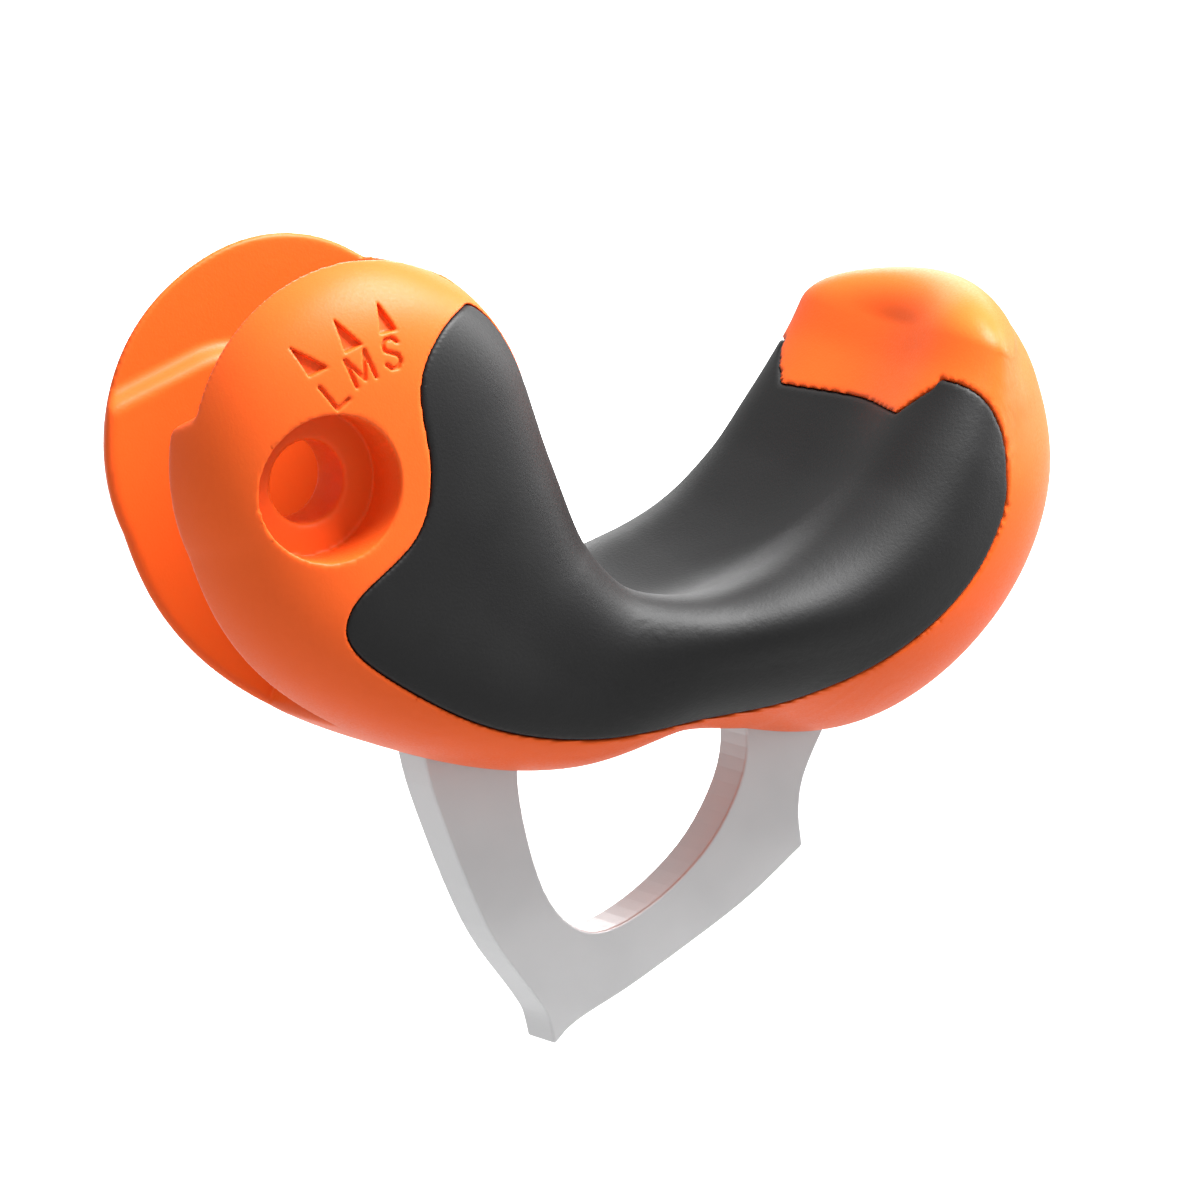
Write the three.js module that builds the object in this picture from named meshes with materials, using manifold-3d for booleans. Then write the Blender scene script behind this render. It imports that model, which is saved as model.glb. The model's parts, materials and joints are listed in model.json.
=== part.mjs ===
// Adjustable hand rest with a steel spike plate, for the foot of a climbing tool's handle.
// Millimetres, +Z up. The origin lies on the clamp bolt's axis, midway between the two cheeks.
// +Y runs along the bolt, from the cheek that takes its head to the cheek that holds its nut.
// +X runs from the bolt towards the free end of the rest.
import * as THREE from 'three';
import { mergeVertices } from 'three/addons/utils/BufferGeometryUtils.js';
import Module from 'manifold-3d';

const wasm = await Module();
wasm.setup();

// ---- driving dimensions -------------------------------------------------------------------

// Centre line of the moulding, from the clamped lobe, under the hand, up to the free end:
// x, z, half thickness, half width, squareness of the hand side, squareness of the outside, and
// the share of its width that the section loses from the hand side to the outside.
const STATIONS = [
  [5.6, 2.0, 15.8, 14.5, 3.6, 3.6, 0],
  [9.0, -5.5, 15.0, 14.5, 3.8, 3.6, 0],
  [16.0, -12.8, 11.4, 14.5, 4.0, 3.4, 0],
  [24.4, -17.0, 8.6, 15.4, 3.5, 3.2, 0.12],
  [33.8, -16.9, 6.6, 18.4, 2.8, 3.0, 0.3],
  [42.3, -16.2, 7.7, 20.9, 2.6, 2.8, 0.42],
  [50.3, -14.6, 10.1, 21.8, 2.5, 2.6, 0.48],
  [56.4, -10.2, 10.9, 21.6, 2.5, 2.5, 0.48],
  [60.1, -4.5, 10.4, 20.8, 2.5, 2.4, 0.46],
  [61.4, 1.4, 8.2, 19.4, 2.4, 2.2, 0.44],
  [61.1, 6.0, 5.8, 18.4, 2.1, 2.0, 0.4],
];
const SEAT = { depth: 3.0, crest: 16.0, start: 0.22, full: 0.42, fadeAngle: 95 };
const HEEL = { bulge: 0.5, centre: [6, -2], angle: 212, spread: 62, limitX: 16 };
const FAR_CHEEK = { thinning: 0.24, from: -4, to: 12 };
const STEEPEST_LEAN = 0.95;

const SLOT = { half: 5.2, floorRadius: 15.0, wallX: 13.8, lowerAngle: -62, mouthX: 3.2, mouthZ: -24 };
const SHOULDER = { nearStep: 2.85, farStep: 1.42, bend: [0, 8.05], slope: 0.384, ramp: 0.8 };
const BOLT = { holeRadius: 3.3, headRadius: 5.9, headDepth: 4.65 };
const NUT = { acrossFlats: 10.0, thickness: 3.2, threadRadius: 2.6, seatY: 6.8, play: 0.3, clearance: 0.1 };
const NEAR_FACE_Y = -14.5;

const OVERLAY_THICKNESS = 1.6;
const PLATE_HALF = 2.25;
const GAP = 0.3;
const POINTER_DEPTH = 0.6;
const POINTER_INNER_Y = -8.2;

// Edge of the soft overlay, seen along the bolt: the flank's border, then across the open air of
// the seat and back to the clamped lobe.
const OVERLAY_BORDER = [
  [13.4, 13.2], [9.9, 11.4], [7.8, 7.4], [8.7, 0.5], [7.3, -4.5], [2.0, -9.4], [2.4, -13.2],
  [9.0, -17.7], [16.0, -20.7], [24.0, -22.0], [33.0, -21.5], [42.0, -20.2], [50.0, -16.9],
  [56.5, -12.0], [59.8, -6.5], [60.0, -2.3], [59.5, 0.5], [58.2, 3.0], [56.9, 4.2],
];
const OVERLAY_AIR = [[54.8, 5.0], [40, 8], [22.5, 5.6], [19.6, 6.4]];
const OVERLAY_SHOULDER = [[18.6, 8.6], [17.4, 10.6], [15.6, 12.4]];
// Dip of the overlay's top edge across the free end, as half width against height.
const OVERLAY_DIP = [[9.4, 1.5], [12.4, 3.8], [13.4, 8], [13.4, 30]];
const OVERLAY_DIP_X = 40;

// Spike plate, seen along the bolt.
const PLATE_LEFT = [[14.0, -22.0], [15.6, -28.0], [20.2, -38.5], [24.9, -44.9]];
const PLATE_BEAK_LEFT = [[24.9, -44.9], [25.8, -46.3], [26.4, -48.5]];
const PLATE_BEAK_RIGHT = [[26.4, -48.5], [28.6, -46.7], [34.2, -43.9], [43.5, -38.5], [49.2, -34.2]];
const PLATE_RIGHT = [[49.2, -34.2], [48.9, -31.2], [49.5, -28.1], [52.0, -23.2]];
const PLATE_TANG = [[52.8, -20.0], [51.2, -15.4], [46.0, -14.4], [40.0, -16.0], [33.0, -17.3],
  [24.0, -16.7], [18.5, -16.0], [15.0, -18.2]];
const EYE = [[23.1, -27.0], [25.5, -35.9], [29.6, -39.6], [35.1, -37.9], [40.8, -33.1], [43.9, -26.8],
  [42.6, -21.6], [36.0, -20.4], [29.0, -20.7], [24.4, -21.8]];
const ANCHORS = [[18.8, -20.0], [48.4, -19.4]];
const ANCHOR_RADIUS = 2.0;

// Size pointers on the near cheek: tip and the two base corners of each triangle.
const POINTERS = [
  [[-2.9, 11.2], [-0.2, 9.65], [-1.8, 8.95]],
  [[0.9, 13.15], [2.8, 11.25], [1.3, 10.65]],
  [[4.8, 14.3], [6.0, 12.15], [4.5, 11.9]],
];

// Cuts run this far, well past the part: to either side along Y, and outwards in X and Z.
const PAST_Y = 20;
const PAST_XZ = 40;
const PAST_END = 1;

const STEPS_PER_SPAN = 4;
const CAP_STEPS = 12;
const SECTION_STEPS = 14;
const HOLE_SIDES = 40;
const HEAD_SIDES = 56;
const ANCHOR_SIDES = 24;

// ---- helpers ------------------------------------------------------------------------------

const radians = THREE.MathUtils.degToRad;

function smooth(t) {
  return THREE.MathUtils.smoothstep(t, 0, 1);
}

/** Turn a closed geometry into a manifold solid, without the triangles that shrink to a line. */
function solid(geometry) {
  geometry.deleteAttribute('normal');
  geometry.deleteAttribute('uv');
  const merged = mergeVertices(geometry, 1e-4);
  const triangles = [];
  for (let i = 0; i < merged.index.count; i += 3) {
    const corners = [0, 1, 2].map((k) => merged.index.getX(i + k));
    if (new Set(corners).size === 3) triangles.push(...corners);
  }
  return new wasm.Manifold(new wasm.Mesh({
    numProp: 3,
    vertProperties: new Float32Array(merged.attributes.position.array),
    triVerts: new Uint32Array(triangles),
  }));
}

function geometryOf(body) {
  const mesh = body.getMesh();
  const geometry = new THREE.BufferGeometry();
  geometry.setAttribute('position', new THREE.BufferAttribute(mesh.vertProperties, 3));
  geometry.setIndex(new THREE.BufferAttribute(mesh.triVerts, 1));
  geometry.computeVertexNormals();
  return geometry;
}

/** Points along a smooth curve through the given [x, z] points. */
function curve(points, stepsPerSpan = 3) {
  const spline = new THREE.SplineCurve(points.map(([x, z]) => new THREE.Vector2(x, z)));
  const count = (points.length - 1) * stepsPerSpan;
  return Array.from({ length: count + 1 }, (_, i) => {
    const p = spline.getPoint(i / count);
    return [p.x, p.y];
  });
}

/** Points of a smooth closed loop through the given [x, z] points. */
function loop(points, stepsPerSpan = 3) {
  const ring = points.map(([x, z]) => new THREE.Vector3(x, 0, z));
  const spline = new THREE.CatmullRomCurve3(ring, true, 'centripetal');
  const count = points.length * stepsPerSpan;
  return Array.from({ length: count }, (_, i) => {
    const p = spline.getPoint(i / count);
    return [p.x, p.z];
  });
}

/** Outline moved outwards by a distance; inwards when the distance is negative. */
function offset(points, distance) {
  const vectors = points.map(([x, z]) => new THREE.Vector2(x, z));
  const turn = THREE.ShapeUtils.isClockWise(vectors) ? 1 : -1;
  return vectors.map((point, i) => {
    const before = vectors.at(i - 1);
    const after = vectors[(i + 1) % vectors.length];
    const along = after.clone().sub(before).normalize();
    return [point.x - along.y * distance * turn, point.y + along.x * distance * turn];
  });
}

/** Solid of an [x, z] outline, running from y = from to y = to. */
function plate(points, from, to) {
  const shape = new THREE.Shape(points.map(([x, z]) => new THREE.Vector2(x, z)));
  const geometry = new THREE.ExtrudeGeometry(shape, { depth: to - from, bevelEnabled: false });
  geometry.rotateX(Math.PI / 2);
  geometry.translate(0, to, 0);
  return solid(geometry);
}

/** Solid of a [y, z] outline, running from x = from to x = to. */
function beam(points, from, to) {
  const shape = new THREE.Shape(points.map(([y, z]) => new THREE.Vector2(y, z)));
  const geometry = new THREE.ExtrudeGeometry(shape, { depth: to - from, bevelEnabled: false });
  geometry.rotateY(Math.PI / 2);
  geometry.rotateX(Math.PI / 2);
  geometry.translate(from, 0, 0);
  return solid(geometry);
}

/** Cylinder along Y. */
function rod(x, z, radius, from, to, sides) {
  const geometry = new THREE.CylinderGeometry(radius, radius, to - from, sides);
  geometry.translate(x, (from + to) / 2, z);
  return solid(geometry);
}

// ---- the moulding's outer skin ----------------------------------------------------------------

/** Uniform Catmull-Rom samples of the stations, with reflected end points. */
function sampleStations() {
  const reflect = (end, next) => end.map((value, k) => 2 * value - next[k]);
  const points = [
    reflect(STATIONS[0], STATIONS[1]),
    ...STATIONS,
    reflect(STATIONS.at(-1), STATIONS.at(-2)),
  ];
  const samples = [];
  for (let i = 1; i < points.length - 2; i += 1) {
    for (let step = 0; step < STEPS_PER_SPAN; step += 1) {
      const t = step / STEPS_PER_SPAN;
      samples.push(points[i].map((value, k) => {
        const [a, c, d] = [points[i - 1][k], points[i + 1][k], points[i + 2][k]];
        return 0.5 * (2 * value + (c - a) * t + (2 * a - 5 * value + 4 * c - d) * t * t
          + (3 * value - a - 3 * c + d) * t ** 3);
      }));
    }
  }
  samples.push(STATIONS.at(-1));
  return samples;
}

/** Directions from a centre line sample to the two sides of its envelope. */
function sideNormals(samples, i) {
  const before = samples[Math.max(i - 1, 0)];
  const after = samples[Math.min(i + 1, samples.length - 1)];
  const run = Math.hypot(after[0] - before[0], after[1] - before[1]);
  const [tx, tz] = [(after[0] - before[0]) / run, (after[1] - before[1]) / run];
  const lean = THREE.MathUtils.clamp((after[2] - before[2]) / run, -STEEPEST_LEAN, STEEPEST_LEAN);
  const side = Math.sqrt(1 - lean * lean);
  return {
    hand: [-lean * tx - side * tz, -lean * tz + side * tx],
    outside: [-lean * tx + side * tz, -lean * tz - side * tx],
  };
}

/**
 * One row per outline direction: centre, direction, reach, half width, squareness, seat, taper,
 * and handward, which runs from 1 facing the hand to -1 facing away from it.
 */
function outlineRows() {
  const samples = sampleStations();
  const last = samples.length - 1;
  const rows = [];

  function addRow(i, [nx, nz], squareness, seat, handward) {
    const [cx, cz, thickness, halfWidth] = samples[i];
    const taper = samples[i][6];
    const edgeX = cx + nx * thickness;
    const edgeZ = cz + nz * thickness;
    const heading = THREE.MathUtils.radToDeg(Math.atan2(edgeZ - HEEL.centre[1], edgeX - HEEL.centre[0]));
    const away = Math.abs(THREE.MathUtils.euclideanModulo(heading - HEEL.angle + 180, 360) - 180);
    const inHeel = away < HEEL.spread && edgeX < HEEL.limitX;
    const bulge = inHeel ? HEEL.bulge * Math.cos((away / HEEL.spread) * Math.PI / 2) ** 2 : 0;
    const reach = thickness + bulge;
    rows.push({ cx, cz, nx, nz, reach, halfWidth, squareness, seat, taper, handward });
  }

  function addCap(i, from, to, fromSquareness, toSquareness, facing) {
    const start = Math.atan2(from[1], from[0]);
    const end = start - THREE.MathUtils.euclideanModulo(start - Math.atan2(to[1], to[0]), 2 * Math.PI);
    for (let step = 1; step < CAP_STEPS; step += 1) {
      const t = step / CAP_STEPS;
      const angle = start + (end - start) * t;
      const turned = THREE.MathUtils.radToDeg(start - angle);
      const seat = facing > 0 ? smooth(1 - turned / SEAT.fadeAngle) : 0;
      const squareness = fromSquareness + (toSquareness - fromSquareness) * t;
      const handward = facing * Math.cos(Math.PI * t);
      addRow(i, [Math.cos(angle), Math.sin(angle)], squareness, seat, handward);
    }
  }

  for (let i = 0; i <= last; i += 1) {
    const seat = smooth((i / last - SEAT.start) / (SEAT.full - SEAT.start));
    addRow(i, sideNormals(samples, i).hand, samples[i][4], seat, 1);
  }
  const free = sideNormals(samples, last);
  addCap(last, free.hand, free.outside, samples[last][4], samples[last][5], 1);
  for (let i = last; i >= 0; i -= 1) {
    addRow(i, sideNormals(samples, i).outside, samples[i][5], 0, -1);
  }
  const clamped = sideNormals(samples, 0);
  addCap(0, clamped.outside, clamped.hand, samples[0][5], samples[0][4], -1);
  return rows;
}

/** 1 below a range of x, 0 above it, with a smooth change between. */
function fadeOut(x, from, to) {
  return 1 - smooth((x - from) / (to - from));
}

/** Point of a row at a section angle; the inset shrinks the skin evenly. */
function skinPoint(row, angle, inset) {
  const atPole = Math.abs(angle) > Math.PI / 2 - 1e-6;
  const spread = atPole ? 0 : Math.cos(angle) ** (2 / row.squareness);
  const reach = (row.reach - inset) * spread;
  const thinning = angle > 0 ? FAR_CHEEK.thinning : 0;
  const thinned = 1 - thinning * fadeOut(row.cx + row.nx * reach, FAR_CHEEK.from, FAR_CHEEK.to);
  const tapered = 1 - row.taper * (1 - row.handward * spread) / 2;
  const side = Math.sign(angle) * Math.abs(Math.sin(angle)) ** (2 / row.squareness);
  const y = (row.halfWidth * thinned * tapered - inset) * side;
  const dip = fadeOut(Math.abs(y), 0, SEAT.crest) * spread ** 3;
  const out = reach - SEAT.depth * row.seat * dip;
  return [row.cx + row.nx * out, y, row.cz + row.nz * out];
}

function skin(inset) {
  const rows = outlineRows();
  const positions = [];
  const indices = [];
  const perRow = SECTION_STEPS + 1;
  rows.forEach((row, r) => {
    for (let k = 0; k < perRow; k += 1) {
      const angle = -Math.PI / 2 + (Math.PI * k) / SECTION_STEPS;
      positions.push(...skinPoint(row, angle, inset));
      const here = r * perRow + k;
      const next = ((r + 1) % rows.length) * perRow + k;
      if (k < SECTION_STEPS) indices.push(here, next + 1, here + 1, here, next, next + 1);
    }
  });
  const geometry = new THREE.BufferGeometry();
  geometry.setAttribute('position', new THREE.Float32BufferAttribute(positions, 3));
  geometry.setIndex(indices);
  return solid(geometry);
}

// ---- cuts and pieces ------------------------------------------------------------------------

/** Gap between the cheeks, cut wide enough for the tang; its floor is round about the bolt. */
function slotOutline() {
  const shape = new THREE.Shape();
  shape.moveTo(-PAST_XZ, PAST_XZ);
  shape.lineTo(SLOT.wallX, PAST_XZ);
  const upper = Math.acos(SLOT.wallX / SLOT.floorRadius);
  shape.absarc(0, 0, SLOT.floorRadius, upper, radians(SLOT.lowerAngle), true);
  shape.lineTo(SLOT.mouthX, SLOT.mouthZ);
  shape.lineTo(SLOT.mouthX, -PAST_XZ);
  shape.lineTo(-PAST_XZ, -PAST_XZ);
  return shape.getPoints(16).map((p) => [p.x, p.y]);
}

/** Recess above the index shoulder on one cheek, with the shoulder's sloping ramp. */
function shoulderRecess(side, step) {
  const { bend: [bendX, bendZ], slope, ramp } = SHOULDER;
  const outline = (rise) => [
    [-PAST_XZ, bendZ - PAST_XZ * slope + rise],
    [bendX, bendZ + rise],
    [PAST_XZ, bendZ + rise],
    [PAST_XZ, PAST_XZ],
    [-PAST_XZ, PAST_XZ],
  ];
  const levels = [
    { y: side * (SLOT.half - 1), points: outline(0) },
    { y: side * SLOT.half, points: outline(0) },
    { y: side * (SLOT.half + step), points: outline(ramp) },
  ];
  return loft(side > 0 ? levels : levels.reverse());
}

/** Solid through equal-length [x, z] outlines standing at rising values of y. */
function loft(levels) {
  const count = levels[0].points.length;
  const positions = levels.flatMap(({ y, points }) => points.flatMap(([x, z]) => [x, y, z]));
  const indices = [];
  for (let level = 0; level < levels.length - 1; level += 1) {
    for (let k = 0; k < count; k += 1) {
      const a = level * count + k;
      const b = level * count + ((k + 1) % count);
      indices.push(a, b + count, b, a, a + count, b + count);
    }
  }
  const top = (levels.length - 1) * count;
  const flat = levels[0].points.map(([x, z]) => new THREE.Vector2(x, z));
  THREE.ShapeUtils.triangulateShape(flat, []).forEach(([a, b, c]) => {
    indices.push(a, b, c, top + a, top + c, top + b);
  });
  const geometry = new THREE.BufferGeometry();
  geometry.setAttribute('position', new THREE.Float32BufferAttribute(positions, 3));
  geometry.setIndex(indices);
  return solid(geometry);
}

/** Outline of the overlay's border grown by a distance. */
function overlayOutline(growth) {
  const border = [...OVERLAY_SHOULDER, ...OVERLAY_BORDER];
  return offset([...curve(border), ...OVERLAY_AIR], growth);
}

/** Everything inside the overlay's border, from cheek to cheek. */
function overlayReach(growth) {
  const dip = OVERLAY_DIP.map(([y, z]) => [y - growth, z + growth]);
  const mirrored = dip.map(([y, z]) => [-y, z]).reverse();
  return plate(overlayOutline(growth), -PAST_Y, PAST_Y)
    .subtract(beam([...mirrored, ...dip], OVERLAY_DIP_X, OVERLAY_DIP_X + PAST_XZ));
}

/** Hexagonal pocket or nut along Y. */
function hexagon(acrossFlats, from, to) {
  const geometry = new THREE.CylinderGeometry(acrossFlats / Math.sqrt(3), acrossFlats / Math.sqrt(3),
    to - from, 6);
  geometry.translate(0, (from + to) / 2, 0);
  return solid(geometry);
}

function plateOutline() {
  const edge = [
    ...curve(PLATE_LEFT), ...curve(PLATE_BEAK_LEFT).slice(1), ...curve(PLATE_BEAK_RIGHT).slice(1),
    ...curve(PLATE_RIGHT).slice(1),
  ];
  return [...edge, ...curve([PLATE_RIGHT.at(-1), ...PLATE_TANG, PLATE_LEFT[0]]).slice(1, -1)];
}

/** Spike plate, or with growth the pocket that the moulding keeps round it. */
function plateSolid(growth) {
  const half = PLATE_HALF + growth;
  const past = half + PAST_END;
  const cut = ANCHORS.reduce(
    (body, [x, z]) => body.subtract(rod(x, z, ANCHOR_RADIUS - growth, -past, past, ANCHOR_SIDES)),
    plate(offset(plateOutline(), growth), -half, half),
  );
  return cut.subtract(plate(offset(loop(EYE), -growth), -past, past));
}

function gripBody(outer) {
  const slot = slotOutline();
  const recesses = shoulderRecess(-1, SHOULDER.nearStep).add(shoulderRecess(1, SHOULDER.farStep));
  const pointers = POINTERS
    .map((triangle) => plate(triangle, -PAST_Y, POINTER_INNER_Y))
    .reduce((sum, cut) => sum.add(cut));
  return outer
    .subtract(plate(slot, -SLOT.half, SLOT.half))
    .subtract(recesses.intersect(plate(slot, -PAST_Y, PAST_Y)))
    .subtract(overlayReach(GAP).subtract(skin(OVERLAY_THICKNESS + GAP)))
    .subtract(rod(0, 0, BOLT.holeRadius, -PAST_Y, PAST_Y, HOLE_SIDES))
    .subtract(rod(0, 0, BOLT.headRadius, -PAST_Y, NEAR_FACE_Y + BOLT.headDepth, HEAD_SIDES))
    .subtract(hexagon(NUT.acrossFlats + 2 * NUT.play, NUT.seatY, PAST_Y))
    .subtract(pointers.subtract(skin(POINTER_DEPTH)))
    .subtract(plateSolid(GAP));
}

function gripOverlay(outer) {
  return outer.intersect(overlayReach(0)).subtract(skin(OVERLAY_THICKNESS));
}

function clampNut() {
  const from = NUT.seatY + NUT.clearance;
  const to = from + NUT.thickness;
  return hexagon(NUT.acrossFlats, from, to)
    .subtract(rod(0, 0, NUT.threadRadius, from - PAST_END, to + PAST_END, HOLE_SIDES));
}

// ---- the assembly -----------------------------------------------------------------------------

function piece(name, body, color, roughness, metalness) {
  const material = new THREE.MeshStandardMaterial({ color, roughness, metalness });
  const mesh = new THREE.Mesh(geometryOf(body), material);
  mesh.name = name;
  return mesh;
}

const outer = skin(0);
const group = new THREE.Group();
group.add(
  piece('grip_body', gripBody(outer), 0xf06423, 0.45, 0.0),
  piece('grip_overlay', gripOverlay(outer), 0x313131, 0.75, 0.0),
  piece('spike_plate', plateSolid(0), 0xb2b2b4, 0.35, 1.0),
  piece('clamp_nut', clampNut(), 0xb8b9bb, 0.3, 1.0),
);

export default group;
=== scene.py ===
import json
import math

import bmesh
import bpy
import numpy as np
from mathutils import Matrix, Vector

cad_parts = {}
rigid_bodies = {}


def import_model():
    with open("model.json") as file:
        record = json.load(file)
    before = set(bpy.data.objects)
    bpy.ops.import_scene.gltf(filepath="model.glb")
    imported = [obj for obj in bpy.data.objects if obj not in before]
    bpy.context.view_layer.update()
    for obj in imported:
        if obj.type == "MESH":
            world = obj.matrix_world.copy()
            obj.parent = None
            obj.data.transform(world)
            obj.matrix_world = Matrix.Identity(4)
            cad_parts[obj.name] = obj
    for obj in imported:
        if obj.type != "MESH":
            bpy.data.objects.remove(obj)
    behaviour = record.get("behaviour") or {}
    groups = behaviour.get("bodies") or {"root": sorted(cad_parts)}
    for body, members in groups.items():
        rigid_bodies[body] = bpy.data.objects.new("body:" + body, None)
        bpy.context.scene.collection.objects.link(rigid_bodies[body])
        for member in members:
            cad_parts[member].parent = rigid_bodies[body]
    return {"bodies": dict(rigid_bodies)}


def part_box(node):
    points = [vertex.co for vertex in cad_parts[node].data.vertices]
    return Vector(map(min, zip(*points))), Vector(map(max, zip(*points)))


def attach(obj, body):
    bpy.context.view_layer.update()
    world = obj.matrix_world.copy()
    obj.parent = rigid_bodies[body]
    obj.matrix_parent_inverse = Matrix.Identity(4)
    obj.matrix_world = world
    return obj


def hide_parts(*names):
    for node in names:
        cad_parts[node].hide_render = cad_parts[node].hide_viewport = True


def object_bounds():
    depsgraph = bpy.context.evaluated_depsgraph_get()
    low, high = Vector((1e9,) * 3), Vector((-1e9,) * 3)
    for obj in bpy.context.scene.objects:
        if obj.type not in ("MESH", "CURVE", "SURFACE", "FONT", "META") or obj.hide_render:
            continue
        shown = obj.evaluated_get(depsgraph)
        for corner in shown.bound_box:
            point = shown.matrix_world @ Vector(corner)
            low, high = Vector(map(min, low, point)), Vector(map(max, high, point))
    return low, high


MM = 0.001
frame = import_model()
CAD_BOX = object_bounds()
BODY = next(iter(frame["bodies"]))

# ---- the moulding's shape, in millimetres, with the bolt's axis through x = z = 0 ------------

# Centre line of the moulding, from the clamped lobe, under the hand, up to the free end:
# x, z, half thickness, half width, squareness of the hand side, squareness of the outside, and
# the share of its width that the section loses from the hand side to the outside.
STATIONS = (
    (5.6, 2.0, 15.8, 14.5, 3.6, 3.6, 0.0),
    (9.0, -5.5, 15.0, 14.5, 3.8, 3.6, 0.0),
    (16.0, -12.8, 11.4, 14.5, 4.0, 3.4, 0.0),
    (24.4, -17.0, 8.6, 15.4, 3.5, 3.2, 0.12),
    (33.8, -16.9, 6.6, 18.4, 2.8, 3.0, 0.3),
    (42.3, -16.2, 7.7, 20.9, 2.6, 2.8, 0.42),
    (50.3, -14.6, 10.1, 21.8, 2.5, 2.6, 0.48),
    (56.4, -10.2, 10.9, 21.6, 2.5, 2.5, 0.48),
    (60.1, -4.5, 10.4, 20.8, 2.5, 2.4, 0.46),
    (61.4, 1.4, 8.2, 19.4, 2.4, 2.2, 0.44),
    (61.1, 6.0, 5.8, 18.4, 2.1, 2.0, 0.4),
)
# Samples per span along the centre line, and along the outlines.
STEPS_PER_SPAN, OUTLINE_STEPS = 40, 6
SEAT_DEPTH, SEAT_CREST = 3.0, 16.0
SEAT_START, SEAT_FULL, SEAT_FADE = 0.22, 0.42, math.radians(95)
# The heel bulges slightly, in directions near HEEL_ANGLE as seen from (HEEL_X, HEEL_Z).
HEEL_X, HEEL_Z, HEEL_LIMIT = 6, -2, 16
HEEL_BULGE, HEEL_ANGLE, HEEL_SPREAD = 0.5, math.radians(212), math.radians(62)
FAR_THINNING, THIN_FROM, THIN_TO = 0.24, -4, 12

SLOT_HALF, SLOT_FLOOR, SLOT_WALL = 5.2, 15.0, 13.8
SLOT_MOUTH = ((7.04, -13.24), (3.2, -24.0))
SHOULDER_STEP = {-1: 2.85, 1: 1.42}
SHOULDER_Z, SHOULDER_SLOPE, SHOULDER_RAMP = 8.05, 0.384, 0.8
HOLE_RADIUS, HEAD_RADIUS, HEAD_FLOOR = 3.3, 5.9, -9.85
NUT_FLATS, NUT_PLAY, NUT_SEAT = 10.0, 0.3, 6.8
OVERLAY_THICKNESS, OVERLAY_GAP = 1.6, 0.06
PLATE_PLAY = 0.12

# Widths over which neighbouring surfaces blend into each other.
SLOT_FILLET, SHOULDER_BEND, SHOULDER_FILLET = 0.7, 0.6, 0.5
HOLE_FILLET, NUT_FILLET, PLATE_FILLET, POCKET_FILLET = 0.25, 0.4, 0.3, 0.2
OVERLAY_RIM_FILLET, OVERLAY_BACK_FILLET = 0.2, 0.3
POINTER_FILLET, LETTER_FILLET = 0.15, 0.1

OVERLAY_BORDER = (
    (18.6, 8.6), (17.4, 10.6), (15.6, 12.4), (13.4, 13.2), (9.9, 11.4), (7.8, 7.4), (8.7, 0.5),
    (7.3, -4.5), (2.0, -9.4), (2.4, -13.2), (9.0, -17.7), (16.0, -20.7), (24.0, -22.0),
    (33.0, -21.5), (42.0, -20.2), (50.0, -16.9), (56.5, -12.0), (59.8, -6.5), (60.0, -2.3),
    (59.5, 0.5), (58.2, 3.0), (56.9, 4.2),
)
OVERLAY_AIR = ((54.8, 5.0), (40.0, 8.0), (22.5, 5.6), (19.6, 6.4))
OVERLAY_DIP = ((9.4, 1.5), (12.4, 3.8), (13.4, 8.0), (13.4, 30.0))
OVERLAY_DIP_X = 40

PLATE_LEFT = ((14.0, -22.0), (15.6, -28.0), (20.2, -38.5), (24.9, -44.9))
PLATE_BEAK_LEFT = ((24.9, -44.9), (25.8, -46.3), (26.4, -48.5))
PLATE_BEAK_RIGHT = ((26.4, -48.5), (28.6, -46.7), (34.2, -43.9), (43.5, -38.5), (49.2, -34.2))
PLATE_RIGHT = ((49.2, -34.2), (48.9, -31.2), (49.5, -28.1), (52.0, -23.2))
PLATE_TANG = (
    (52.0, -23.2), (52.8, -20.0), (51.2, -15.4), (46.0, -14.4), (40.0, -16.0), (33.0, -17.3),
    (24.0, -16.7), (18.5, -16.0), (15.0, -18.2), (14.0, -22.0),
)
EYE = (
    (23.1, -27.0), (25.5, -35.9), (29.6, -39.6), (35.1, -37.9), (40.8, -33.1), (43.9, -26.8),
    (42.6, -21.6), (36.0, -20.4), (29.0, -20.7), (24.4, -21.8),
)
PLATE_BEVEL, BEVEL_SEGMENTS, BEVEL_ANGLE = 0.22, 3, math.radians(35)
FLAT_ANGLE = 0.01

# Size pointers: tip and the two base corners of each triangle, on the near cheek.
POINTERS = (
    ((-2.9, 11.2), (-0.2, 9.65), (-1.8, 8.95)),
    ((0.9, 13.15), (2.8, 11.25), (1.3, 10.65)),
    ((4.8, 14.3), (6.0, 12.15), (4.5, 11.9)),
)
POINTER_DEPTH = 0.6
MARK_LIMIT_Y = 8
# Size letters as strokes on a cell one unit high: centre on the cheek, tilt and strokes.
LETTERS = (
    ((0.1, 7.6), math.radians(38), (((-0.25, 0.5), (-0.25, -0.5), (0.3, -0.5)),)),
    ((2.5, 9.4), math.radians(22), (
        ((-0.4, -0.5), (-0.4, 0.5), (0.0, -0.4), (0.4, 0.5), (0.4, -0.5)),)),
    ((5.35, 10.4), math.radians(8), (
        ((0.28, 0.34), (0.12, 0.5), (-0.14, 0.5), (-0.28, 0.34), (-0.26, 0.14), (0.22, -0.1),
         (0.28, -0.3), (0.14, -0.5), (-0.14, -0.5), (-0.3, -0.32)),)),
)
LETTER_HEIGHT, LETTER_STROKE, LETTER_DEPTH = 2.3, 0.14, 0.35

# Grid steps, with the finer one about the marks, and the grid's margin round the pieces.
COARSE, FINE, GRID_MARGIN = 0.3, 0.14, 1.2
MARKED_X, MARKED_Y, MARKED_Z = (-4.5, 7.5), (-15.2, -11.4), (5.8, 15.2)
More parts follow.
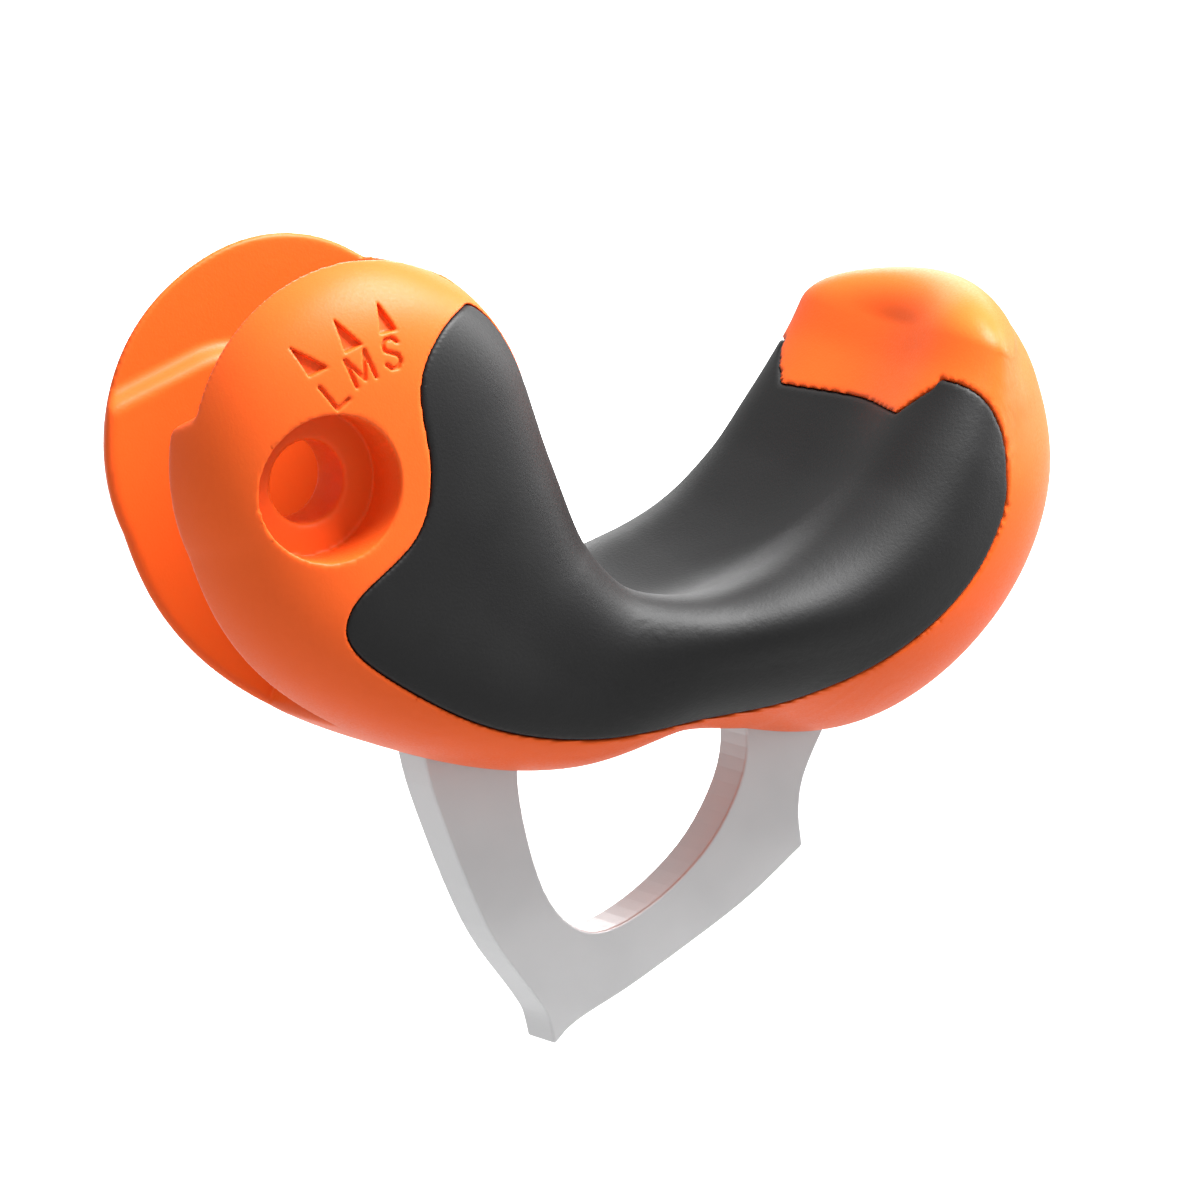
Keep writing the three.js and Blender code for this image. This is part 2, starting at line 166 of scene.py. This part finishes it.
# Limits that keep the skin's field finite on the centre line, at the section's poles and far away.
LEAST_AWAY, LEAST_SPREAD, LEAST_REACH, LEAST_STEEPNESS = 1e-6, 1e-4, 0.2, 0.02
FIELD_LIMIT = 4


# ---- small mathematics --------------------------------------------------------------------------

def fade_in(x, low, high):
    """0 below low, 1 above high, with a smooth change between."""
    t = np.clip((x - low) / (high - low), 0, 1)
    return t * t * (3 - 2 * t)


def span_samples(points, steps):
    """Uniform Catmull-Rom samples of every span that has a neighbour on both sides."""
    t = (np.arange(steps) / steps)[:, None]
    return np.vstack([
        0.5 * (2 * b + (c - a) * t + (2 * a - 5 * b + 4 * c - d) * t ** 2
               + (3 * b - a - 3 * c + d) * t ** 3)
        for a, b, c, d in zip(points, points[1:], points[2:], points[3:])
    ])


def catmull_rom(points, steps):
    """Samples of an open curve through the points, with reflected end points."""
    points = np.array(points, float)
    ends = np.vstack([2 * points[0] - points[1], points, 2 * points[-1] - points[-2]])
    return np.vstack([span_samples(ends, steps), points[-1:]])


def closed_loop(points, steps):
    """Samples of a closed curve through the points."""
    points = np.array(points, float)
    return span_samples(np.vstack([points[-1], points, points[:2]]), steps)


def smooth_max(a, b, radius):
    """Larger of two distance fields, blended so that the edge between them is rounded."""
    blend = np.maximum(radius - np.abs(a - b), 0) / radius
    return np.maximum(a, b) + blend ** 2 * (radius / 4)


def segment_distance(x, z, start, end):
    """Distance to a straight line between two points."""
    dx, dz = end[0] - start[0], end[1] - start[1]
    t = np.clip(((x - start[0]) * dx + (z - start[1]) * dz) / (dx * dx + dz * dz), 0, 1)
    return np.hypot(x - start[0] - t * dx, z - start[1] - t * dz)


def polygon_distance(x, z, points):
    """Signed distance to a closed polygon, negative inside."""
    nearest = np.full(np.broadcast(x, z).shape, np.inf)
    inside = np.zeros(nearest.shape, bool)
    for start, end in zip(points, np.roll(points, -1, axis=0)):
        nearest = np.minimum(nearest, segment_distance(x, z, start, end))
        if start[1] != end[1]:
            crosses = (start[1] > z) != (end[1] > z)
            at = start[0] + (z - start[1]) / (end[1] - start[1]) * (end[0] - start[0])
            inside ^= crosses & (x < at)
    return np.where(inside, -nearest, nearest)


# ---- distance fields ----------------------------------------------------------------------------

def spaced(low, high, fine_range):
    """Grid lines from low to high, finer inside fine_range."""
    a, b = fine_range
    lines = []
    for start, end, step in ((low, a, COARSE), (max(a, low), b, FINE), (b, high, COARSE)):
        if end > start:
            count = max(2, round((end - start) / step))
            lines.append(np.linspace(start, end, count, endpoint=False))
    return np.append(np.concatenate(lines), high).astype(np.float32)


class Grid:
    """Grid of sample points round the moulding, as arrays that broadcast together."""

    def __init__(self):
        boxes = np.array([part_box("grip_body"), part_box("grip_overlay")]) / MM
        low = boxes[:, 0].min(axis=0) - GRID_MARGIN
        high = boxes[:, 1].max(axis=0) + GRID_MARGIN
        self.axes = [
            spaced(*ends) for ends in zip(low, high, (MARKED_X, MARKED_Y, MARKED_Z))
        ]
        self.x = self.axes[0][:, None, None]
        self.y = self.axes[1][None, :, None]
        self.z = self.axes[2][None, None, :]


def plan_of_skin(grid):
    """How far each x, z place is from the centre line, and the section it belongs to."""
    x, z = grid.x[:, 0], grid.z[0]
    samples = catmull_rom(STATIONS, STEPS_PER_SPAN)
    last = len(samples) - 1
    run = np.gradient(samples, axis=0)
    pace = np.hypot(run[:, 0], run[:, 1])
    along = run[:, :2] / pace[:, None]
    nearest = np.full(np.broadcast(x, z).shape, np.inf)
    station = np.zeros(nearest.shape, int)
    for i, (cx, cz, thickness) in enumerate(samples[:, :3]):
        gap = np.hypot(x - cx, z - cz) - thickness
        closer = gap < nearest
        nearest[closer] = gap[closer]
        station[closer] = i
    centre = samples[station]
    dx, dz = x - centre[..., 0], z - centre[..., 1]
    away = np.maximum(np.hypot(dx, dz), LEAST_AWAY)
    nx, nz = dx / away, dz / away
    tangent = along[station]
    sideways = tangent[..., 0] * nz - tangent[..., 1] * nx
    on_hand_side = sideways > 0
    # Past either end the section turns from the hand side to the outside.
    past_free_end = station == last
    past_end = past_free_end | (station == 0)
    beyond = (nx * tangent[..., 0] + nz * tangent[..., 1]) * np.where(past_free_end, 1, -1)
    growth = run[:, 2] / pace
    lean = np.where(past_free_end, -math.asin(growth[last]), math.asin(growth[0]))
    sweep = math.pi - 2 * lean
    turned = np.clip((np.arctan2(beyond, np.abs(sideways)) - lean) / sweep, 0, 0.5) * past_end
    turned = np.where(on_hand_side, turned, 1 - turned)
    squareness = centre[..., 4] + (centre[..., 5] - centre[..., 4]) * turned

    seat = np.where(on_hand_side, fade_in(station / last, SEAT_START, SEAT_FULL), 0.0)
    seat = np.where(past_free_end, fade_in(1 - turned * sweep / SEAT_FADE, 0, 1), seat)
    seat = np.where(station == 0, 0.0, seat)

    edge_x = centre[..., 0] + nx * centre[..., 2]
    edge_z = centre[..., 1] + nz * centre[..., 2]
    heading = np.arctan2(edge_z - HEEL_Z, edge_x - HEEL_X)
    off_heel = np.abs((heading - HEEL_ANGLE + math.pi) % (2 * math.pi) - math.pi)
    in_heel = (off_heel < HEEL_SPREAD) & (edge_x < HEEL_LIMIT)
    bulge = np.where(in_heel, HEEL_BULGE * np.cos(off_heel / HEEL_SPREAD * math.pi / 2) ** 2, 0)
    return {
        "away": away, "reach": centre[..., 2] + bulge, "half_width": centre[..., 3],
        "squareness": squareness, "seat": seat, "taper": centre[..., 6],
        "handward": np.cos(math.pi * turned),
    }


def skin_field(grid):
    """Distance to the moulding's outer skin, negative inside."""
    plan = {
        name: value[:, None, :].astype(np.float32) for name, value in plan_of_skin(grid).items()
    }
    power = plan["squareness"]
    thinned = np.where(grid.y > 0, FAR_THINNING * (1 - fade_in(grid.x, THIN_FROM, THIN_TO)), 0)
    dip = SEAT_DEPTH * plan["seat"] * (1 - fade_in(np.abs(grid.y), 0, SEAT_CREST))
    lifted = plan["away"]
    # The seat's dip and the taper depend on each other, and settle after a second pass.
    for _ in range(2):
        lift = np.minimum(lifted / plan["reach"], 1)
        tapered = 1 - plan["taper"] * (1 - plan["handward"] * lift) / 2
        across_power = (np.abs(grid.y) / (plan["half_width"] * (1 - thinned) * tapered)) ** power
        spread = np.maximum(1 - across_power, LEAST_SPREAD) ** (1 / power)
        lifted = plan["away"] / np.maximum(1 - dip * spread ** 2 / plan["reach"], LEAST_REACH)
    size = ((lifted / plan["reach"]) ** power + across_power) ** (1 / power)
    gx, gy, gz = np.gradient(size, *grid.axes)
    steepness = np.maximum(np.sqrt(gx * gx + gy * gy + gz * gz), LEAST_STEEPNESS)
    return np.clip((size - 1) / steepness, -FIELD_LIMIT, FIELD_LIMIT).astype(np.float32)


def slot_plan(x, z):
    """Distance to the space between the cheeks, seen along the bolt, negative inside."""
    (ax, az), (bx, bz) = SLOT_MOUTH
    run = math.hypot(bx - ax, bz - az)
    mouth = ((x - ax) * -(bz - az) + (z - az) * (bx - ax)) / run
    floor = np.hypot(x, z) - SLOT_FLOOR
    upper = np.where(z > math.sqrt(SLOT_FLOOR ** 2 - SLOT_WALL ** 2), x - SLOT_WALL, floor)
    lower = np.where(z < az, mouth, floor)
    return np.where(z > 0, upper, lower)


def dip_plan(grid):
    """Distance to the dip in the overlay's top edge across the free end, negative inside."""
    half = np.array(OVERLAY_DIP)
    outline = np.vstack([half, (half * (-1, 1))[::-1]])
    across = polygon_distance(grid.y[0], grid.z[0], outline)[None]
    return np.maximum(across, OVERLAY_DIP_X - grid.x)


def mark_plan(x, z):
    """Distance to the pointers and to the letters, seen along the bolt, negative inside."""
    pointers = np.full(np.broadcast(x, z).shape, np.inf)
    for triangle in POINTERS:
        pointers = np.minimum(pointers, polygon_distance(x, z, np.array(triangle)))
    letters = np.full(pointers.shape, np.inf)
    for (cx, cz), tilt, strokes in LETTERS:
        turn = np.array(((math.cos(tilt), math.sin(tilt)), (-math.sin(tilt), math.cos(tilt))))
        for stroke in strokes:
            points = np.array(stroke) * LETTER_HEIGHT @ turn + (cx, cz)
            for start, end in zip(points, points[1:]):
                letters = np.minimum(letters, segment_distance(x, z, start, end))
    return pointers, letters - LETTER_STROKE


def overlay_plan(grid):
    """Distance to the overlay's border, seen along the bolt, negative inside."""
    border = np.vstack([catmull_rom(OVERLAY_BORDER, OUTLINE_STEPS), OVERLAY_AIR])
    return polygon_distance(grid.x[:, 0], grid.z[0], border)[:, None, :]


def plate_outline():
    """Points round the plate, with a sharp corner wherever one run meets the next."""
    runs = (PLATE_LEFT, PLATE_BEAK_LEFT, PLATE_BEAK_RIGHT, PLATE_RIGHT, PLATE_TANG)
    return np.vstack([catmull_rom(run, OUTLINE_STEPS)[:-1] for run in runs])


def body_field(grid, skin, overlay_edge):
    """Distance to the orange moulding, with everything cut out of it."""
    x, y, z = grid.x, grid.y, grid.z
    slot = slot_plan(x, z)
    body = smooth_max(skin, -np.maximum(slot, np.abs(y) - SLOT_HALF), SLOT_FILLET)

    sloping = (z - SHOULDER_Z - SHOULDER_SLOPE * x) / math.hypot(1, SHOULDER_SLOPE)
    above = smooth_max(z - SHOULDER_Z, sloping, SHOULDER_BEND)
    for side, step in SHOULDER_STEP.items():
        into = side * y - SLOT_HALF
        ramp = (SHOULDER_RAMP * into / step - above) / math.hypot(1, SHOULDER_RAMP / step)
        face = smooth_max(ramp, into - step, SHOULDER_FILLET)
        recess = np.maximum(face, np.maximum(slot, -side * y))
        body = smooth_max(body, -recess, SHOULDER_FILLET)

    edge = np.maximum(overlay_edge - OVERLAY_GAP, -dip_plan(grid) - OVERLAY_GAP)
    pocket = np.maximum(edge, -(skin + OVERLAY_THICKNESS + OVERLAY_GAP))
    body = smooth_max(body, -pocket, POCKET_FILLET)

    bolt = np.hypot(x, z)
    body = smooth_max(body, HOLE_RADIUS - bolt, HOLE_FILLET)
    body = smooth_max(body, -np.maximum(bolt - HEAD_RADIUS, y - HEAD_FLOOR), HOLE_FILLET)
    flats = [np.abs(x * math.cos(a) + z * math.sin(a)) for a in np.radians((0, 60, 120))]
    hexagon = np.maximum.reduce(flats) - NUT_FLATS / 2 - NUT_PLAY
    body = smooth_max(body, -np.maximum(hexagon, NUT_SEAT - y), NUT_FILLET)

    plan_x, plan_z = grid.x[:, 0], grid.z[0]
    pointers, letters = (plan[:, None, :] for plan in mark_plan(plan_x, plan_z))
    for marks, depth, fillet in (
        (pointers, POINTER_DEPTH, POINTER_FILLET), (letters, LETTER_DEPTH, LETTER_FILLET),
    ):
        sunk = np.maximum(np.maximum(marks, -(skin + depth)), y + MARK_LIMIT_Y)
        body = smooth_max(body, -sunk, fillet)

    outline = polygon_distance(plan_x, plan_z, plate_outline())
    eye = polygon_distance(plan_x, plan_z, closed_loop(EYE, OUTLINE_STEPS))
    plate = np.maximum(outline, -eye)[:, None, :] - PLATE_PLAY
    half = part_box("spike_plate")[1][1] / MM
    return smooth_max(body, -np.maximum(plate, np.abs(y) - half - PLATE_PLAY), PLATE_FILLET)


def overlay_field(grid, skin, overlay_edge):
    """Distance to the soft overlay."""
    edge = np.maximum(overlay_edge, -dip_plan(grid))
    shell = smooth_max(skin, edge, OVERLAY_RIM_FILLET)
    return smooth_max(shell, -(skin + OVERLAY_THICKNESS), OVERLAY_BACK_FILLET)


# ---- from a field to a mesh ---------------------------------------------------------------------

CORNERS = np.array([(i, j, k) for i in (0, 1) for j in (0, 1) for k in (0, 1)])
CELL_EDGES = [(a, b) for a in range(8) for b in range(a + 1, 8)
              if np.abs(CORNERS[a] - CORNERS[b]).sum() == 1]


def net_of(field, axes):
    """Vertices and quads of the field's zero surface: one vertex in each cell that it crosses."""
    inside = field < 0
    count = sum(inside[i:field.shape[0] - 1 + i, j:field.shape[1] - 1 + j, k:field.shape[2] - 1 + k]
                .astype(np.int8) for i, j, k in CORNERS)
    cells = np.argwhere((count > 0) & (count < 8))
    corner = [tuple((cells + offset).T) for offset in CORNERS]
    value = [field[c] for c in corner]
    place = [np.stack([axes[n][c[n]] for n in range(3)], 1) for c in corner]
    total = np.zeros((len(cells), 3))
    hits = np.zeros(len(cells))
    for a, b in CELL_EDGES:
        crossed = (value[a] < 0) != (value[b] < 0)
        share = np.where(crossed, value[a] / np.where(crossed, value[a] - value[b], 1), 0)[:, None]
        total += np.where(crossed[:, None], place[a] + (place[b] - place[a]) * share, 0)
        hits += crossed
    vertices = total / hits[:, None]

    number = np.full(count.shape, -1, np.int32)
    number[tuple(cells.T)] = np.arange(len(cells))
    quads = []
    for n in range(3):
        u, v = (n + 1) % 3, (n + 2) % 3
        start = np.take(inside, range(field.shape[n] - 1), axis=n)
        end = np.take(inside, range(1, field.shape[n]), axis=n)
        at = np.argwhere(start != end)
        outward = start[tuple(at.T)]
        around = []
        for du, dv in ((0, 0), (1, 0), (1, 1), (0, 1)):
            cell = at.copy()
            cell[:, u] -= du
            cell[:, v] -= dv
            around.append(number[tuple(cell.T)])
        quad = np.stack(around, 1)
        quad[~outward] = quad[~outward][:, ::-1]
        quads.append(quad)
    return vertices, np.vstack(quads)


def add_object(name, mesh, material, node):
    obj = bpy.data.objects.new(name, mesh)
    bpy.context.scene.collection.objects.link(obj)
    mesh.materials.append(material)
    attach(obj, BODY)
    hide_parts(node)
    return obj


def mesh_from_field(name, field, axes):
    vertices, quads = net_of(field, axes)
    mesh = bpy.data.meshes.new(name)
    mesh.vertices.add(len(vertices))
    mesh.vertices.foreach_set("co", (vertices * MM).ravel())
    mesh.loops.add(quads.size)
    mesh.loops.foreach_set("vertex_index", quads.ravel())
    mesh.polygons.add(len(quads))
    mesh.polygons.foreach_set("loop_start", np.arange(0, quads.size, 4))
    mesh.update(calc_edges=True)
    mesh.shade_smooth()
    return mesh


# ---- the plate ----------------------------------------------------------------------------------

def plate_mesh():
    """Steel plate: its outline and eye drawn on one face and thickened; a bevel modifier added
    afterwards breaks its edges.
    """
    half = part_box("spike_plate")[1][1]
    outline = plate_outline() * MM
    eye = closed_loop(EYE, OUTLINE_STEPS) * MM
    mesh = bmesh.new()
    edges = []
    for ring in (outline, eye):
        vertices = [mesh.verts.new((x, -half, z)) for x, z in ring]
        edges += [mesh.edges.new(pair) for pair in zip(vertices, vertices[1:] + vertices[:1])]
    bmesh.ops.triangle_fill(mesh, edges=edges, use_beauty=True, normal=(0, -1, 0))
    bmesh.ops.dissolve_limit(mesh, angle_limit=FLAT_ANGLE, verts=mesh.verts, edges=mesh.edges)
    extruded = bmesh.ops.extrude_face_region(mesh, geom=list(mesh.faces), use_keep_orig=True)
    moved = [item for item in extruded["geom"] if isinstance(item, bmesh.types.BMVert)]
    bmesh.ops.translate(mesh, verts=moved, vec=(0, 2 * half, 0))
    bmesh.ops.recalc_face_normals(mesh, faces=mesh.faces)
    result = bpy.data.meshes.new("spike_plate_steel")
    mesh.to_mesh(result)
    mesh.free()
    return result


def add_bevel(obj):
    bevel = obj.modifiers.new("bevel", "BEVEL")
    bevel.width = PLATE_BEVEL * MM
    bevel.segments = BEVEL_SEGMENTS
    bevel.limit_method = "ANGLE"
    bevel.angle_limit = BEVEL_ANGLE
    bevel.harden_normals = True


# ---- materials ----------------------------------------------------------------------------------

# Two linear tones for each material, which a noise mixes.
ORANGE_TONES = (0.71, 0.094, 0.012, 1), (0.75, 0.101, 0.013, 1)
BLACK_TONES = (0.004, 0.004, 0.0042, 1), (0.006, 0.006, 0.0062, 1)
STEEL_TONES = (0.54, 0.54, 0.545, 1), (0.58, 0.58, 0.585, 1)
ZINC_TONES = (0.55, 0.56, 0.57, 1), (0.66, 0.66, 0.65, 1)

class Nodes:
    """Short names for building a material's node tree."""

    def __init__(self, name):
        self.material = bpy.data.materials.new(name)
        self.material.use_nodes = True
        self.tree = self.material.node_tree
        self.shader = self.tree.nodes["Principled BSDF"]
        self.place = self.tree.nodes.new("ShaderNodeTexCoord").outputs["Object"]

    def add(self, kind, inputs=(), **settings):
        node = self.tree.nodes.new(kind)
        for name, value in settings.items():
            setattr(node, name, value)
        for name, value in dict(inputs).items():
            self.link(value, node.inputs[name])
        return node

    def link(self, value, socket):
        if isinstance(value, bpy.types.NodeSocket):
            self.tree.links.new(value, socket)
        else:
            socket.default_value = value

    def set(self, **inputs):
        for name, value in inputs.items():
            self.link(value, self.shader.inputs[name.replace("_", " ")])

    def noise(self, scale, detail=3.0, roughness=0.5):
        return self.add("ShaderNodeTexNoise", {
            "Vector": self.place, "Scale": scale, "Detail": detail, "Roughness": roughness,
        }).outputs["Fac"]

    def ramp(self, value, low, high, low_out, high_out):
        return self.add("ShaderNodeMapRange", {
            "Value": value, "From Min": low, "From Max": high,
            "To Min": low_out, "To Max": high_out,
        }).outputs["Result"]

    def mix(self, share, first, second):
        node = self.add("ShaderNodeMix", data_type="RGBA")
        self.link(share, node.inputs["Factor"])
        self.link(first, node.inputs[6])
        self.link(second, node.inputs[7])
        return node.outputs[2]

    def bump(self, height, distance, strength):
        node = self.add("ShaderNodeBump", {
            "Height": height, "Distance": distance, "Strength": strength,
        })
        return node.outputs["Normal"]


def orange_nylon():
    """Satin moulded nylon: a spark-eroded grain and faint flow marks."""
    nodes = Nodes("orange_nylon")
    flow = nodes.noise(60.0, 2.0)
    grain = nodes.noise(5200.0, 2.0)
    base = nodes.mix(nodes.ramp(flow, 0.35, 0.65, 0.0, 1.0), *ORANGE_TONES)
    nodes.set(
        Base_Color=base,
        Roughness=nodes.ramp(grain, 0.3, 0.7, 0.36, 0.50),
        Normal=nodes.bump(grain, 0.00002, 0.6),
    )
    nodes.set(Specular_IOR_Level=0.14, Subsurface_Weight=0.05, Subsurface_Scale=0.002)
    nodes.shader.inputs["Subsurface Radius"].default_value = (1.0, 0.35, 0.1)
    return nodes.material


def black_elastomer():
    """Soft black overmould: fine pebbled grain over a slight unevenness from wear."""
    nodes = Nodes("black_elastomer")
    pebble = nodes.noise(3800.0, 3.0, 0.6)
    wear = nodes.noise(90.0, 3.0)
    base = nodes.mix(nodes.ramp(wear, 0.35, 0.7, 0.0, 1.0), *BLACK_TONES)
    nodes.set(
        Base_Color=base,
        Roughness=nodes.ramp(wear, 0.3, 0.7, 0.50, 0.60),
        Normal=nodes.bump(pebble, 0.00003, 0.7),
    )
    nodes.set(Specular_IOR_Level=0.27)
    return nodes.material


def plate_steel():
    """Fine-blasted steel with faint patches."""
    nodes = Nodes("plate_steel")
    blast = nodes.noise(4200.0, 2.0)
    patch = nodes.noise(120.0, 3.0)
    base = nodes.mix(nodes.ramp(patch, 0.3, 0.7, 0.0, 1.0), *STEEL_TONES)
    nodes.set(
        Base_Color=base,
        Roughness=nodes.ramp(patch, 0.3, 0.7, 0.42, 0.52),
        Normal=nodes.bump(blast, 0.00001, 0.5),
    )
    nodes.set(Metallic=0.65)
    return nodes.material


def nut_steel():
    """Zinc-plated steel."""
    nodes = Nodes("nut_steel")
    patch = nodes.noise(400.0, 3.0)
    base = nodes.mix(patch, *ZINC_TONES)
    nodes.set(Base_Color=base, Roughness=nodes.ramp(patch, 0.3, 0.7, 0.25, 0.38))
    nodes.set(Metallic=1.0)
    return nodes.material


# ---- the pieces ---------------------------------------------------------------------------------

def build_moulding():
    grid = Grid()
    skin = skin_field(grid)
    overlay_edge = overlay_plan(grid)
    body = mesh_from_field("orange_body", body_field(grid, skin, overlay_edge), grid.axes)
    add_object("orange_body", body, orange_nylon(), "grip_body")
    overlay = mesh_from_field("black_overlay", overlay_field(grid, skin, overlay_edge), grid.axes)
    add_object("black_overlay", overlay, black_elastomer(), "grip_overlay")


def build_plate():
    plate = add_object("steel_plate", plate_mesh(), plate_steel(), "spike_plate")
    add_bevel(plate)


def dress_nut():
    nut = bpy.data.objects["clamp_nut"]
    nut.data.materials.clear()
    nut.data.materials.append(nut_steel())


# ---- floor, lights and camera -------------------------------------------------------------------

VIEW_TURN, VIEW_RISE = math.radians(29), math.radians(9)
VIEW_CENTRE = (31.77, 0, -13.18)
VIEW_WIDTH = 96 * MM
LENS, SENSOR = 600, 36
CLIP_NEAR, CLIP_FAR = 0.01, 20
# The room's light at eye level and overhead, and the rises between which it changes.
ROOM_LIGHT, CEILING_LIGHT = 0.62, 0.9
ROOM_RISE, CEILING_RISE = 0.25, 0.95
# Soft boxes: name, place in metres, width in metres and power in watts. The first two stand close
# to the part and light it; the last lights the floor far behind it.
SOFT_BOXES = (
    ("top_box", (0.15, -0.10, 0.30), 0.25, 6.0),
    ("right_box", (0.40, -0.02, 0.12), 0.25, 1.5),
)
BACKGROUND_BOX = ("background_box", (1.7, 3.1, 1.0), 2.0, 120.0)
FLOOR_HALF, FLOOR_DROP = 12.0, 0.50
FLOOR_COLOUR, FLOOR_ROUGHNESS = (0.8, 0.8, 0.8, 1), 0.9


def aim(obj, target):
    obj.rotation_mode = "QUATERNION"
    obj.rotation_quaternion = (target - obj.location).to_track_quat("-Z", "Y")


def add_camera():
    target = Vector(VIEW_CENTRE) * MM
    back = Vector((
        -math.sin(VIEW_TURN) * math.cos(VIEW_RISE),
        -math.cos(VIEW_TURN) * math.cos(VIEW_RISE),
        math.sin(VIEW_RISE),
    ))
    camera = bpy.data.objects.new("camera", bpy.data.cameras.new("camera"))
    bpy.context.scene.collection.objects.link(camera)
    camera.data.lens = LENS
    camera.data.sensor_width = SENSOR
    camera.data.clip_start = CLIP_NEAR
    camera.data.clip_end = CLIP_FAR
    camera.location = target + back * (VIEW_WIDTH * LENS / SENSOR)
    aim(camera, target)
    bpy.context.scene.camera = camera
    return target


def add_softbox(name, place, size, power, target):
    light = bpy.data.lights.new(name, "AREA")
    light.size = size
    light.energy = power
    obj = bpy.data.objects.new(name, light)
    bpy.context.scene.collection.objects.link(obj)
    obj.location = place
    aim(obj, target)


def add_studio(target):
    """White room that brightens towards its ceiling, with two soft boxes near the part, above it
    to the front and to its right, and one that shines down on the floor behind."""
    bpy.context.scene.view_settings.view_transform = "Standard"
    world = bpy.data.worlds.new("studio")
    bpy.context.scene.world = world
    world.use_nodes = True
    nodes = world.node_tree.nodes
    links = world.node_tree.links
    direction = nodes.new("ShaderNodeTexCoord").outputs["Generated"]
    split = nodes.new("ShaderNodeSeparateXYZ")
    links.new(direction, split.inputs[0])
    rise = nodes.new("ShaderNodeMapRange")
    links.new(split.outputs["Z"], rise.inputs["Value"])
    for name, value in (
        ("From Min", ROOM_RISE), ("From Max", CEILING_RISE),
        ("To Min", ROOM_LIGHT), ("To Max", CEILING_LIGHT),
    ):
        rise.inputs[name].default_value = value
    links.new(rise.outputs["Result"], nodes["Background"].inputs["Strength"])
    nodes["Background"].inputs["Color"].default_value = (1, 1, 1, 1)
    for name, place, size, power in SOFT_BOXES:
        add_softbox(name, place, size, power, target)
    name, place, size, power = BACKGROUND_BOX
    add_softbox(name, place, size, power, Vector(place) - Vector((0, 0, 1)))


def add_floor():
    """Plain pale floor, well below the part, which hangs free."""
    mesh = bpy.data.meshes.new("floor")
    corners = [(x * FLOOR_HALF, y * FLOOR_HALF, 0) for x, y in ((-1, -1), (1, -1), (1, 1), (-1, 1))]
    mesh.from_pydata(corners, [], [(0, 1, 2, 3)])
    floor = bpy.data.objects.new("floor", mesh)
    floor.location = (0, 0, CAD_BOX[0][2] - FLOOR_DROP)
    bpy.context.scene.collection.objects.link(floor)
    nodes = Nodes("pale_floor")
    nodes.set(Base_Color=FLOOR_COLOUR, Roughness=FLOOR_ROUGHNESS)
    mesh.materials.append(nodes.material)


build_moulding()
build_plate()
dress_nut()
view_target = add_camera()
add_studio(view_target)
add_floor()
bpy.context.view_layer.update()
